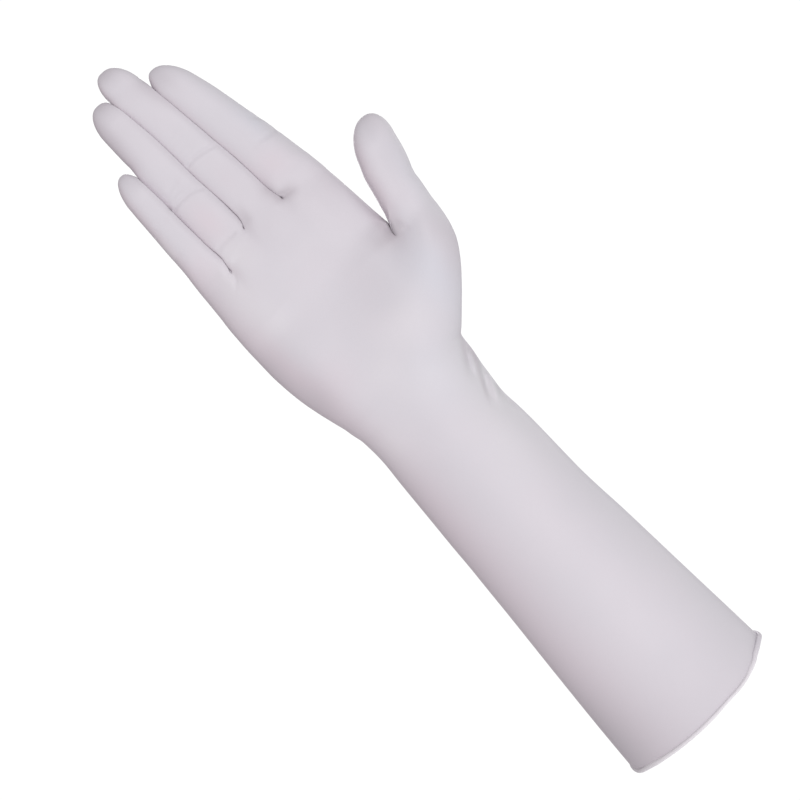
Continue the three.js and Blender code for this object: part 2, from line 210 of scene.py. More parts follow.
# Where neighbouring fingers press flat against each other, the little finger's contact first
CONTACTS = [
    table("z x", [
        (258, -23.3), (261, -23), (264, -22.5), (267, -22.75), (270, -23.25), (273, -23.65),
        (279, -24), (285, -24.5), (291, -24.75), (297, -25), (303, -25.55), (308.5, -26),
        (311.5, -25.95), (314, -25.75), (318, -25.85), (322, -26.3), (330, -27.5),
    ]),
    table("z x", [
        (267.3, -7.9), (268.6, -7.3), (270, -6.75), (273, -6.4), (278, -6.65), (284, -7.2),
        (290, -8), (296.5, -8.75), (302, -9.05), (308, -9.35), (314, -9.8), (320, -10.4),
        (326, -11.25), (332, -12.05), (336, -12.7), (341, -13.8), (350, -17),
    ]),
    table("z x", [
        (266.3, 12), (269.5, 11), (272.5, 10.3), (275.5, 10), (279, 9.85), (285, 9.45),
        (291, 8.9), (296.4, 8.2), (302, 7.3), (308, 6.55), (314, 5.65), (320, 4.85),
        (326, 4), (332, 3), (341, 2.3),
    ]),
]
# Where the thumb's root presses against the palm, below the gap between them
THUMB_CONTACT = table("z x", [
    (221, 35), (224.5, 35.45), (226, 35.8), (228, 36.5), (229.5, 37.25),
    (230.5, 37.8), (231.5, 38), (233, 38.2), (250, 38.4),
])
THUMB_CONTACT_ROUNDING = 0.17
THUMB_ROUNDING_SHARES = (1.5, 0.5)  # of it, at the bottom and at the top of these heights
THUMB_ROUNDING_HEIGHTS = (226, 231)
THUMB_PRESS = 1.4
THUMB_PRESS_FADE = (227.5, 231.5)
PRESS = 2.4  # how much a pressed side swells before its neighbour flattens it
PRESS_BUILDS_OVER = 4.0
PRESS_KEEPS_OVER = 3.0  # past the neighbour's last section
PRESS_FADES_OVER = 10.0
TIP_PRESS_POWER = 8  # and how quickly it goes over a round tip
CONTACT_GAP = 0.01
CONTACT_ROUNDINGS = (0.1, 0.03, 0.065)  # for each contact above
FORK_ROUNDING_SHARE = 0.4  # of it at the fork, growing to the whole over a height
FORK_ROUNDING_OVER = 6.0
CONTACT_BEND = 0.004  # the flat faces bend a little, so that no light passes between them
CONTACT_MIDDLE = -3.0  # the depth at which they bend

# Where the webs meet the palm side: each fork between two digits
FORKS = table("x z", [(-23.2, 258), (-7.75, 267.8), (12.2, 266.4), (35.6, 224)])
LITTLE_SIDE = (-40, 256)
INDEX_SIDE = (34, 263)
WEB_ARCH = 1.2
CORNER_INSET = 2.8

# Rounded forms that stand out of the palm or back, or sink in where the height is negative
FORMS = on_side(PALM_SIDE, PATCH, [
    (27, 198, 18, 32, 4.8, 31),  # the thumb's pad
    (46, 216, 9, 14, 2.4, 31),  # the ball of the thumb
    (35, 223.5, 4, 8, -1, 45),  # the dip below the thumb's web
    (-27, 200, 12, 30, 3.4),  # the little finger's pad
    (6, 226, 16, 18, -2),  # the hollow of the palm
    (20, 257, 6, 6, 0.5),  # the pads below the fingers
    (2, 259, 6, 6, 0.5),
    (-14.5, 255, 6, 6, 0.5),
]) + on_side(BACK_SIDE, PATCH, [
    (21, 249, 7, 9, 2.4),  # the knuckles, from the index finger to the little finger
    (3, 253, 7, 9, 2.8),
    (-14, 250, 7, 9, 2.4),
    (-30, 243, 7, 9, 2),
])
# The thumb's half of the hand is set forward, growing over these breadths and heights
THUMB_FORWARD = {"across": (24, 56), "along": (162, 222), "shift": 10}

# How square the sections are: 2 is an ellipse
SLEEVE_SQUARENESS = 2.0
HAND_SQUARENESS = 2.3
PALM_SQUARENESS = 2.7
SLEEVE_TO_HAND = (150, 210)
HAND_TO_PALM = 0.6  # share of the way up the palm

# How the points go round: evenly at the mouth, then by the digits, whose rings start at a corner
EVEN_START = math.radians(-165)
LAYOUT_FADE = (30, 205)
FIRST_CORNER = -135
PALM_SETTLES = 0.3  # share of the way up the palm till it has its own sections
DIGIT_SETTLES = 10.5  # and the height till a digit has its own
ROOT_LEAN = 1.3  # how much of a digit's root keeps to its line of contact
FORK_DIP = {"depth": 1.2, "across": 2.4, "along": 6.0}
FORK_SOFTENING = table("radius rounds", [(1.6, 2), (1.6, 2), (1.6, 2), (2.5, 3)])  # for each fork
SOFTENING = 0.5  # how far points move towards their neighbours' average in each round
CAP_ANGLE = math.radians(66)  # where the rings of a tip end and its grid begins
TIP_RINGS = 1.6  # rings in a tip for each spacing in its height

# Where rings lie closer together, for the folds: a height, how far either way, and the spacing there
BODY_SPACING = 1.5  # of the skin's own
SPACING_SAMPLES = 2001
FINE_FADE_SHARE = 0.6  # of how far a fine place reaches, and this much more
FINE_FADE = 1.5
FINE_BODY = [(2.6, 0.5, 0.2), (157, 22, 0.85), (222, 5, 0.8)]
FINE_PALM_SPACING = 1.1
FINE_DIGITS = {
    "little": [(264, 5, 0.8), (279, 3, 0.7), (292.4, 2.5, 0.8)],
    "ring": [(269.5, 5, 0.6), (295.5, 5.5, 0.6)],
    "middle": [(271, 4, 0.7), (307, 9, 0.6)],
    "index": [(270, 5, 0.6), (291.5, 4, 0.8), (299, 2, 0.9)],
    "thumb": [(231, 4, 0.7)],
}

# Folds go straight in towards the back of the hand, and creases square to the film. Neither reaches
# further than a few times its width, and both fade out where the film turns away from their side.
CREASE_REACH = 4
FACING_WRAP = 0.1
FACING_FADE = 0.35
FOLDS = on_side(PALM_SIDE, CREASE, [
    # loose film where the thumb's root meets the wrist
    (2.7, 1.4, 2.1, 0.05, 0.55,
     [(30.2, 176.4), (27.5, 172), (25, 168.3), (23.1, 165.2), (21.7, 162), (20.4, 158)]),
    (-0.8, 0.9, 1.2, 0.3, 0.4, [(27.6, 171.6), (26.6, 168.6), (25.2, 165.6), (23.6, 162.4), (22.4, 159)]),
    (2.8, 1.9, 1.05, 0.08, 0.5,
     [(29.2, 168), (27.4, 163), (24.9, 158.8), (22.7, 155), (21.2, 152), (19.9, 149), (18.4, 146)]),
    (-2.8, 1.6, 1.6, 0.2, 0.7,
     [(28.4, 160), (26.8, 155.5), (25.2, 152), (23.6, 149), (22.4, 146), (21, 142)]),
    (2.2, 0.8, 1.1, 0.3, 0.4, [(27, 153.5), (26, 149.5), (25.7, 146), (25.4, 142), (24.8, 136)]),
    # web of the thumb
    (2.4, 0.4, 2.2, 0.5, 0.4, [(37.7, 231), (36.6, 228), (35.8, 225.5), (35.2, 222.5)]),
])
CREASES = on_side(PALM_SIDE, CREASE, [
    # joints of the fingers
    (0.55, 0.85, 0.85, 0.05, 0.15,
     [(-8.6, 301.2), (-5, 301.7), (-2, 301.75), (1.5, 301.2), (4, 300.8), (7.6, 299.9)]),
    (0.08, 0.6, 0.6, 0.2, 0.4, [(-7.5, 305.4), (-4, 305.8), (-1, 305.7), (2, 305.2)]),
    (0.14, 0.8, 0.8, 0.2, 0.4, [(-8, 307.8), (-4.5, 308.2), (-1, 307.9), (3, 307)]),
    (0.1, 0.6, 0.6, 0.2, 0.4, [(-8.5, 311.2), (-5, 311.6), (-2, 311.4), (1, 310.9)]),
    (0.1, 0.8, 0.8, 0.3, 0.4, [(-7, 314.4), (-4, 314.8), (0, 314.4)]),
    (0.55, 0.9, 0.9, 0.02, 0.15,
     [(-24.6, 291.5), (-22.5, 292.1), (-20, 292.5), (-15, 292.6), (-12, 292), (-7.6, 289.9)]),
    (0.22, 0.7, 0.7, 0.3, 0.4, [(-22.5, 294.8), (-19.8, 295.6), (-15.5, 295.9), (-11, 294.8)]),
    (0.25, 1.4, 1.2, 0.3, 0.3, [(-21.5, 298.6), (-18, 299.6), (-13, 298.9)]),
    (0.6, 1.2, 1, 0, 0.7, [(29.5, 289.4), (27, 289), (24, 289.1), (20.5, 289.6), (16, 289)]),
    (0.4, 1.2, 1, 0, 0.7, [(27.5, 297.4), (25.5, 299.2), (22.5, 300.2)]),
    (0.15, 0.9, 0.9, 0, 0.6, [(-38.5, 275.8), (-35, 276.8), (-30, 276.6)]),
    (0.2, 0.9, 0.9, 0.3, 0.2, [(-34.5, 291.2), (-32, 291.4), (-27.5, 289.8)]),
    (0.5, 0.8, 0.8, 0.15, 0.2,
     [(-22.2, 266.8), (-20.8, 267.9), (-18.5, 268.6), (-14.5, 268.6), (-11, 268.6), (-9, 267.9)]),
    # ends of the clefts between the fingers
    (0.5, 0.9, 0.7, 0, 0.7, [(12.6, 266.2), (13.9, 266.4), (17.2, 266), (19.8, 266.2)]),
    (0.3, 0.6, 0.6, 0, 0.8, [(12.4, 265.9), (13.2, 264.9), (14.6, 263.6)]),
    (0.3, 0.6, 0.6, 0, 0.8, [(-7.9, 267.4), (-8.2, 266), (-8.1, 264.4)]),
    (0.36, 0.7, 0.7, 0, 0.7, [(-23.2, 258.2), (-23.9, 254.4), (-26.3, 251.4), (-29.5, 249.6)]),
    # web of the thumb
    (0.5, 1.1, 0.8, 0.2, 0.6, [(38.2, 228.6), (38.8, 226.4), (39.4, 224.2), (40.2, 221.9), (41.4, 219.4)]),
]) + on_side(BACK_SIDE, CREASE, [
    # joints of the fingers
    *((depth, 0.6, 0.6, 0.2, 0.2, line) for depth, line in [
        (0.3, [(-5.5, 304.4), (-1, 305.6), (4.5, 304.2)]),
        (0.34, [(-6, 301.6), (-0.5, 302), (5.5, 301.2)]),
        (0.26, [(-5, 298.8), (-0.2, 298.2), (5, 298.6)]),
        (0.3, [(-21.5, 296.2), (-16.5, 297.4), (-11, 296.2)]),
        (0.32, [(-22, 293.2), (-16.2, 293.6), (-10, 293)]),
        (0.3, [(12, 294.8), (18.5, 296.2), (25, 294.4)]),
        (0.32, [(11.8, 291.6), (18.8, 292), (26, 291)]),
        (0.26, [(-35.5, 281.2), (-31, 282.2), (-26.6, 281)]),
        (0.28, [(-35.6, 278.4), (-31, 278.6), (-26.6, 278.2)]),
    ]),
    # joint of the thumb, and the wrist
    (0.3, 0.7, 0.7, 0.2, 0.2, [(44, 246), (50, 247.6), (57, 247)]),
    (0.45, 1.2, 1.2, 0.3, 0.2, [(-24, 170), (-8, 167.4), (10, 168), (24, 171.5)]),
    (0.32, 1.2, 1.2, 0.4, 0.2, [(-18, 162), (-4, 160.6), (12, 161.8), (25, 165)]),
])

# Small dimples at the ends of the clefts and of a joint's crease
DIMPLES = on_side(PALM_SIDE, PATCH, [
    (16.8, 265.6, 2.4, 1.8, -0.5),
    (-4.4, 269.6, 1.8, 3.2, -0.45),
    (-24.4, 293.2, 0.6, 0.7, -0.4),
])

# Nails that show faintly through the film on the back: centre, half width and half length, and lean
NAILS = table("x z half_width half_length lean", [
    (-30.9, 309, 4, 5, 0.04),
    (-18.4, 336, 4.9, 6, 0),
    (-6.6, 345, 5.1, 6.4, -0.2),
    (10.4, 332, 5, 6.2, -0.28),
    (55.4, 259.6, 6, 6.4, 0.27),
])
NAIL_HEIGHT = 0.28
NAIL_EDGE = 0.16
NAIL_SQUARENESS = 3

# Painted shade by the way the film faces: pinker as it turns to the little finger's side, greyer as it turns
# to the thumb's
PAINTED_SHADE_EDGE_PINK = 0.8
EDGE_PINK_FADE = (0.1, 0.9)
PAINTED_SHADE_EDGE_GREY = 0.3
EDGE_GREY_FADE = (0.2, 0.9)

# Where the film is pinker, bluer, greyer, paler or darker: mostly painted shade and light, not its own colour
TINTS_AND_PAINTED_SHADING = {}
# pink: on the back, the film's own warmer look over the knuckles and joints; on the palm, painted warm shade
# at the finger bases and clefts, the thumb's web and the little finger's side
TINTS_AND_PAINTED_SHADING["pink"] = on_side(PALM_SIDE, PATCH, [
    (19, 279, 7, 7, 0.6), (-17, 279, 6, 10, 0.75), (0, 288, 6, 10, 0.2), (-31, 266, 6, 8, 0.5),
    (-24, 196, 10, 12, 0.5), (-34, 215, 6, 26, 0.4), (-27, 120, 7, 20, 0.15), (44, 236, 5, 8, 0.2),
    (36, 231, 3, 7, 0.8),
]) + on_side(BACK_SIDE, PATCH, [
    *((x, z, 8, 8, 0.6) for x, z in [(20, 250), (3, 254), (-14, 250), (-31, 243)]),
    *((x, z, 7, 6, 0.5) for x, z in [(18.5, 293), (0, 302), (-16.5, 295)]),
])
# blue: painted cool shade where the film turns away, on the outer thenar, the thumb's side, the wrist and by
# a crease of the index finger
TINTS_AND_PAINTED_SHADING["blue"] = on_side(PALM_SIDE, PATCH, [
    (38, 200, 10, 22, 0.9), (56, 244, 5, 18, 0.6), (12, 172, 12, 16, 0.5), (24, 300, 5, 16, 0.5),
    (25.5, 296.5, 3, 5, 0.5),
])
# grey: painted shade beside the folds on the thumb's side of the wrist
TINTS_AND_PAINTED_SHADING["grey"] = on_side(PALM_SIDE, PATCH, [(26.5, 162, 4.5, 14, 0.5, 10), (20, 150, 10, 30, 0.3)])
# pale: painted light, where slopes and ridges of the palm, wrist and little finger would catch more light
TINTS_AND_PAINTED_SHADING["pale"] = on_side(PALM_SIDE, PATCH, [
    (12, 195, 12, 9, 0.35), (-4, 185, 10, 8, 0.25), (-28, 247, 9, 15, 0.28), (-21, 162, 9, 13, 0.3),
    (6, 171, 14, 9, 0.18), (14, 133, 9, 22, 0.2, 8), (-25, 230, 8, 11, 0.2), (-17, 260, 7, 8, 0.32),
    (-37, 281, 2.5, 6, 0.4, 0, 0.4), (23.9, 154.2, 1.5, 5.5, 0.3, 27),
])
# shade: painted shade in the clefts, along the fingers' lines of contact, at the thumb's web, in the wrist's
# folds, on the fingertips, on slopes and edges turned away from the light and towards the sleeve's mouth
TINTS_AND_PAINTED_SHADING["shade"] = on_side(PALM_SIDE, PATCH, [
    (8.5, 271.5, 4, 7, 0.3, -15), (-25.2, 290, 1.5, 24, 0.35, -4), (-10.2, 305, 1.5, 32, 0.35, -5),
    (6.2, 304, 1.5, 32, 0.35, -7), (10.2, 270.5, 2.4, 4.5, 0.6, -20),
    (13.5, 266.8, 2, 3.5, 0.6, 90), (-30, 195, 7, 10, 0.45), (30, 225, 4, 5, 0.55),
    (-38, 216, 5, 12, 0.35), (48, 215, 7, 8, 0.45), (55, 250, 4.5, 16, 0.4, 15),
    (31, 260, 4, 8, 0.35), (-23.4, 331, 3.2, 13, 0.7, -3), (-17, 342.5, 5, 4, 0.45),
    (1.4, 332, 2.8, 9, 0.6, -14), (-8, 351.5, 8, 3.2, 0.45), (9, 332, 3, 7, 0.3, -14),
    (35.5, 240, 3, 16, 0.7), (34.4, 226, 2.8, 4.5, 0.95, 25), (38.3, 225.4, 2.6, 4.2, 0.7, 20),
    (-36, 8, 15, 30, 0.7), (0, -4, 36, 30, 0.35), (15.5, 266, 4, 3.2, 0.8),
    (-4.7, 270.5, 2.6, 4.5, 0.75, 15), (49, 204, 5, 14, 0.45, 42),
    (28.2, 169.5, 1.6, 6.5, 0.7, 12, 0.7), (25.4, 170.9, 1.1, 5.5, 0.65, 30),
    (26.4, 165.6, 0.9, 3.2, 0.45, 25), (24.6, 161.6, 0.9, 5, 0.35, 30),
    (21.3, 154.8, 0.8, 6, 0.4, 26),
])


def lerp(a, b, t):
    """The value a share t of the way from a to b."""
    return a + (b - a) * t


def smooth(t):
    """A step from 0 to 1 that starts and ends level."""
    c = np.clip(t, 0.0, 1.0)
    return c * c * (3.0 - 2.0 * c)


def fade(value, limits):
    """0 up to the first limit and 1 from the second on, with a smooth step between them."""
    low, high = limits
    return smooth((value - low) / (high - low))


def signed_power(v, p):
    return np.sign(v) * np.abs(v) ** p


def curve_value(rows, name, z, key="z"):
    """A column of a table at a height, by a cubic that doesn't overshoot the rows."""
    xs, ys = rows[key], rows[name]
    slopes = np.diff(ys) / np.diff(xs)
    tangents = np.append(slopes, slopes[-1])
    before, after = slopes[:-1], slopes[1:]
    same = before * after > 0
    mean = np.zeros_like(before)
    mean[same] = 2 * before[same] * after[same] / (before[same] + after[same])
    tangents[1:-1] = mean
    c = np.clip(z, xs[0], xs[-1])
    i = np.clip(np.searchsorted(xs, c, side="right") - 1, 0, len(xs) - 2)
    height = xs[i + 1] - xs[i]
    t = (c - xs[i]) / height
    m0, m1 = tangents[i] * height, tangents[i + 1] * height
    a, b = ys[i], ys[i + 1]
    return a + m0 * t + (3 * (b - a) - 2 * m0 - m1) * t**2 + (m0 + m1 - 2 * (b - a)) * t**3


def section(rows, z, angle, squareness, swell=(0.0, 0.0)):
    """Points of the cross-section at a height, 0 towards the thumb side and 90 degrees towards the back."""
    ulnar, radial, palm, back = (curve_value(rows, n, z) for n in ("ulnar", "radial", "palm", "back"))
    return ellipse_point(ulnar - swell[0], radial + swell[1], palm, back, z, angle, squareness)


def ellipse_point(ulnar, radial, palm, back, z, angle, squareness):
    """Points on a squared ellipse, which can be squarer on one side than on the other."""
    ulnar_side, radial_side = squareness if isinstance(squareness, tuple) else (squareness, squareness)
    power = np.where(np.cos(angle) < 0, 2 / ulnar_side, 2 / radial_side)
    x = (ulnar + radial) / 2 + signed_power(np.cos(angle), power) * (radial - ulnar) / 2
    y = (palm + back) / 2 + signed_power(np.sin(angle), power) * (back - palm) / 2
    return np.stack([x, y, np.broadcast_to(z, x.shape).astype(float)], axis=-1)


def hill(points, patch):
    """How much of a soft round patch there is at each point, from 0 to 1."""
    dx, dz = points[:, 0] - patch["x"], points[:, 2] - patch["z"]
    turn = math.radians(patch.get("turn", 0))
    across = (dx * math.cos(turn) - dz * math.sin(turn)) / patch["across"]
    along = (dx * math.sin(turn) + dz * math.cos(turn)) / patch["along"]
    return np.exp(-(across**2 + along**2))


def add_forms(points):
    """The hand's rounded forms, and the thumb's half of the hand set forward."""
    side = np.where(points[:, 1] < 0, -1, 1)
    moved = points.copy()
    for form in FORMS:
        moved[:, 1] += np.where(side == form["side"], form["side"] * form["height"] * hill(points, form), 0)
    share = fade(points[:, 0], THUMB_FORWARD["across"]) * fade(points[:, 2], THUMB_FORWARD["along"])
    moved[:, 1] -= THUMB_FORWARD["shift"] * share
    return moved


def dip_at_forks(points):
    """The small valleys that lead into the forks between the fingers, on both sides."""
    moved = points.copy()
    for fx, fz in zip(FORKS["x"][:-1], FORKS["z"][:-1]):
        dip = hill(points, dict(FORK_DIP, x=fx, z=fz))
        moved[:, 1] -= np.sign(points[:, 1]) * FORK_DIP["depth"] * dip
    return moved


def softly_below(x, limit, rounding):
    """x, kept under a limit that it nears gradually."""
    top = limit - CONTACT_GAP
    return top - rounding * np.logaddexp(0, (top - x) / rounding)


def contacts_of(digit):
    """The lines of contact on a digit's ulnar side (-1) and radial side (1), each with its fork's number."""
    if digit == FINGERS:
        return [(THUMB_CONTACT, -1, digit - 1)]
    pairs = [(digit - 1, -1), (digit, 1)]
    return [(CONTACTS[fork], side, fork) for fork, side in pairs if 0 <= fork < len(CONTACTS)]


def press_flat(points, contact, side, rounding):
    """Keeps points off a line of contact, so that the two films meet in one flat face."""
    limit = np.interp(points[:, 2], contact["z"], contact["x"])
    if contact is THUMB_CONTACT:
        rounding = rounding * lerp(*THUMB_ROUNDING_SHARES, fade(points[:, 2], THUMB_ROUNDING_HEIGHTS))
    else:
        limit += CONTACT_BEND * (points[:, 1] - CONTACT_MIDDLE) ** 2
        above_fork = (points[:, 2] - contact["z"][0]) / FORK_ROUNDING_OVER
        rounding = rounding * lerp(FORK_ROUNDING_SHARE, 1.0, smooth(above_fork))
    moved = points.copy()
    moved[:, 0] = side * softly_below(side * moved[:, 0], side * limit, rounding)
    return moved


def press_digit(points, digit):
    """Keeps a digit's points off its lines of contact."""
    for contact, side, fork in contacts_of(digit):
        rounding = THUMB_CONTACT_ROUNDING if digit == FINGERS else CONTACT_ROUNDINGS[fork]
        points = press_flat(points, contact, side, rounding)
    return points


def swelling(digit, z):
    """How far a digit swells towards its ulnar and its radial neighbour at a height."""
    if digit == FINGERS:
        return (THUMB_PRESS * float(1 - fade(z, THUMB_PRESS_FADE)), 0.0)
    sides = [0.0, 0.0]
    for i, neighbour in enumerate((digit - 1, digit + 1)):
        if 0 <= neighbour < FINGERS:
            builds = smooth((z - DIGIT_FORMS[digit]["root"]) / PRESS_BUILDS_OVER)
            top = DIGIT_FORMS[neighbour]["rows"]["z"][-1]
            fades = 1 - smooth((z - top - PRESS_KEEPS_OVER) / PRESS_FADES_OVER)
            sides[i] = float(PRESS * builds * fades)
    return sides


def spaced(low, high, spacing, fine_places):
    """Heights from low to high, closer together near the fine places."""
    steps = np.linspace(low, high, SPACING_SAMPLES)
    density = np.full(steps.shape, 1 / spacing)
    for place, half, fine in fine_places:
        near = 1 - smooth((np.abs(steps - place) - half) / (FINE_FADE_SHARE * half + FINE_FADE))
        density = np.maximum(density, lerp(1 / spacing, 1 / fine, near))
    total = np.concatenate([[0], np.cumsum((density[1:] + density[:-1]) / 2 * np.diff(steps))])
    count = max(1, int(round(total[-1])))
    return np.interp(np.linspace(0, total[-1], count + 1), total, steps)


def roll_value(name, points):
    """A column of the bead's table at each point's angle round the mouth."""
    return curve_value(ROLL, name, np.degrees(np.arctan2(points[:, 1], points[:, 0])), "angle")


def band(lower, upper):
    """Faces between a ring of points and the next one."""
    following = [*range(1, len(lower)), 0]
    return [(lower[j], lower[k], upper[k], upper[j]) for j, k in enumerate(following)]


class Skin:
    """One side of the film as points in millimetres and faces, at a chosen fineness."""

    def __init__(self, steps, spacing, fine):
        self.steps = steps
        self.spacing = spacing
        self.fine = fine
        self.points = []
        self.faces = []
        self.climbs = {}

    def add(self, points):
        """Adds points, and gives their numbers."""
        first = len(self.points)
        self.points.extend(np.asarray(points, float).reshape(-1, 3))
        return list(range(first, len(self.points)))

    def at(self, ids):
        return np.array([self.points[i] for i in ids])

    def join(self, rings):
        """Adds the faces between each ring and the next."""
        for lower, upper in zip(rings, rings[1:]):
            self.faces += band(lower, upper)

    def keep_climbs(self, lower, upper):
        """Keeps which way the film was going where it reached each point of a ring, for a rise of 1."""
        step = self.at(upper) - self.at(lower)
        self.climbs.update(zip(upper, step / step[:, 2:]))

    def raised(self, ids, rise):
        """Points of a ring raised by a height, each the way that the film was going there."""
        climbs = np.array([self.climbs.get(i, (0, 0, 1)) for i in ids])
        return self.at(ids) + climbs * np.reshape(rise, (-1, 1))

    def behind(self, ring, digits, j):
        """The point of the back row that stands behind a palm row's point."""
        return ring[2 * digits * self.steps + self.steps - j]

    def hand_angles(self, rows, z, digits, squareness):
        """The angles of a ring that has a palm row, a thumb side, a back row and a little-finger side."""
        ulnar, radial = curve_value(rows, "ulnar", z), curve_value(rows, "radial", z)
        marks = [ulnar + CORNER_INSET, *FORKS["x"][: digits - 1], radial - CORNER_INSET]
        places = np.interp(np.arange(digits * self.steps + 1) / self.steps, range(digits + 1), marks)
        centre, half = (ulnar + radial) / 2, (radial - ulnar) / 2
        row = np.arccos(signed_power((places - centre) / half, squareness / 2))
        share = np.arange(self.steps) / self.steps
        return np.concatenate([
            -row[:-1],
            lerp(-row[-1], row[-1], share),
            row[:0:-1],
            lerp(row[0], 2 * math.pi - row[0], share),
        ])

    def build_body(self):
        """Sleeve, wrist and hand up to the web of the thumb."""
        top = FORKS["z"][-1] - WEB_ARCH
        angles = self.hand_angles(BODY, top, DIGITS, HAND_SQUARENESS)
        even = EVEN_START + 2 * math.pi * np.arange(len(angles)) / len(angles)
        rings = []
        for z in spaced(RIM_HEIGHT, top, BODY_SPACING * self.spacing, FINE_BODY if self.fine else []):
            squareness = float(lerp(SLEEVE_SQUARENESS, HAND_SQUARENESS, fade(z, SLEEVE_TO_HAND)))
            angle = lerp(even, angles, fade(z, LAYOUT_FADE))
            flat = section(BODY, z, angle, squareness)
            slope = RIM_SLOPE_X * flat[:, 0] + RIM_SLOPE_Y * flat[:, 1] + roll_value("rise", flat)
            rise = slope * (1 - fade(z, (RIM_HEIGHT, RIM_FADE)))
            ring = section(BODY, z + rise, angle, squareness)
            rings.append(self.add(add_forms(ring)))
        self.join(rings)
        self.rim = rings[0]
        self.keep_climbs(*rings[-2:])
        return rings[-1]

    def web(self, palm_point, back_point):
        """The points of a web between a palm point and a back point, without its two ends."""
        share = np.arange(1, self.steps)[:, None] / self.steps
        line = lerp(self.points[palm_point], self.points[back_point], share)
        line[:, 2] += WEB_ARCH * 4 * share[:, 0] * (1 - share[:, 0])
        return self.add(line)

    def digit_ring(self, ring, digits, digit, webs):
        """The ring round one digit: its share of both rows, and a web or the ring's own side on each side."""
        first, last = digit * self.steps, (digit + 1) * self.steps
        radial_side = ring[last + 1:last + self.steps] if digit == digits - 1 else webs[digit]
        ulnar_side = ring[len(ring) - self.steps + 1:] if digit == 0 else webs[digit - 1][::-1]
        back = [self.behind(ring, digits, j) for j in range(last, first - 1, -1)]
        return [*ring[first:last + 1], *radial_side, *back, *ulnar_side]

    def build_palm(self, split):
        """The palm, from the web of the thumb to the webs of the fingers."""
        fork = FINGERS * self.steps
        self.thumb_web = self.web(split[fork], self.behind(split, DIGITS, fork))
        base = [*split[:fork + 1], *self.thumb_web, *split[fork + 3 * self.steps:]]
        start = self.at(base)
        end_z = FORKS["z"][1]
        angles = self.hand_angles(PALM, end_z, FINGERS, PALM_SQUARENESS)
        across = section(PALM, end_z, angles, PALM_SQUARENESS)[:, 0]
        line_x = [LITTLE_SIDE[0], *FORKS["x"][:FINGERS - 1], INDEX_SIDE[0]]
        line_z = [LITTLE_SIDE[1], *(FORKS["z"][:FINGERS - 1] - WEB_ARCH), INDEX_SIDE[1]]
        finish_z = np.interp(across, line_x, line_z)
        count = round((end_z - FORKS["z"][-1]) / (FINE_PALM_SPACING if self.fine else self.spacing))
        rings = [base]
        for stage in np.arange(1, count + 1) / count:
            z = lerp(start[:, 2], finish_z, stage)
            squareness = float(lerp(HAND_SQUARENESS, PALM_SQUARENESS, smooth(stage / HAND_TO_PALM)))
            angles = self.hand_angles(PALM, end_z, FINGERS, squareness)
            formed = dip_at_forks(add_forms(section(PALM, z, angles, squareness)))
            settled = smooth(stage / PALM_SETTLES)
            lifted = self.raised(base, z - start[:, 2])
            formed[:, :2] = lerp(lifted[:, :2], formed[:, :2], settled)
            rings.append(self.add(press_flat(formed, THUMB_CONTACT, 1, THUMB_CONTACT_ROUNDING)))
        self.join(rings)
        self.keep_climbs(*rings[-2:])
        return rings[-1]

    def tip_points(self, digit, up, angle):
        """Points of a digit's round tip, from 0 degrees at its last section to 90 degrees at its top."""
        rows, tip = DIGIT_FORMS[digit]["rows"], DIGIT_FORMS[digit]["tip"]
        rise, narrow = np.sin(up), np.cos(up)
        last = {name: rows[name][-1] for name in rows}
        swell = swelling(digit, last["z"])
        x = lerp((last["ulnar"] + last["radial"]) / 2, tip[0], rise)
        half_x = (last["radial"] - last["ulnar"]) / 2 * narrow
        ulnar = x - half_x - swell[0] * narrow**TIP_PRESS_POWER
        radial = x + half_x + swell[1] * narrow**TIP_PRESS_POWER
        palm, back = lerp(tip[1], last["palm"], narrow), lerp(tip[1], last["back"], narrow)
        z = lerp(last["z"], tip[2], rise)
        squareness = DIGIT_FORMS[digit]["squareness"]
        return press_digit(ellipse_point(ulnar, radial, palm, back, z, angle, squareness), digit)

    def close_tip(self, digit, ring):
        """Closes a ring with a square grid of faces laid over the top of the tip."""
        steps = self.steps
        grid = np.zeros((steps + 1, steps + 1), int)
        grid[:, 0] = ring[:steps + 1]
        grid[steps, :] = ring[steps:2 * steps + 1]
        grid[::-1, steps] = ring[2 * steps:3 * steps + 1]
        grid[0, ::-1] = [*ring[3 * steps:], ring[0]]
        inner = [(i, j) for i in range(1, steps) for j in range(1, steps)]
        u, v = (2 * np.array(inner, float) / steps - 1).T
        reach = np.maximum(np.abs(u), np.abs(v))
        safe = np.maximum(reach, 1e-9)
        quarter = np.select(
            [(v <= -reach), (u >= reach), (v >= reach)],
            [(u / safe + 1) / 2, 1 + (v / safe + 1) / 2, 2 + (1 - u / safe) / 2],
            3 + (1 - v / safe) / 2,
        )
        angle = np.radians(FIRST_CORNER + 90 * quarter)
        up = math.pi / 2 - (math.pi / 2 - CAP_ANGLE) * reach
        ids = self.add(self.tip_points(digit, up, angle))
        for (i, j), point in zip(inner, ids):
            grid[i, j] = point
        for i in range(steps):
            for j in range(steps):
                self.faces.append((grid[i, j], grid[i + 1, j], grid[i + 1, j + 1], grid[i, j + 1]))

    def follow_contacts(self, start, z, digit):
        """How far a digit's root leans across, so that its sides keep to their lines of contact."""
        low, high = start[:, 0].min(), start[:, 0].max()
        share = (start[:, 0] - low) / (high - low)
        lean = np.zeros(len(start))
        for contact, side, fork in contacts_of(digit):
            line = np.interp(z, contact["z"], contact["x"])
            if digit == FINGERS:
                nearness = 1 - 2 * share
                swell = swelling(digit, float(z.mean()))[0]
            else:
                nearness = 1 - share if side < 0 else share
                swell = PRESS * smooth((z - FORKS["z"][fork]) / PRESS_BUILDS_OVER)
            lean += smooth(ROOT_LEAN * nearness) * (line - FORKS["x"][fork] + side * swell)
        return lean

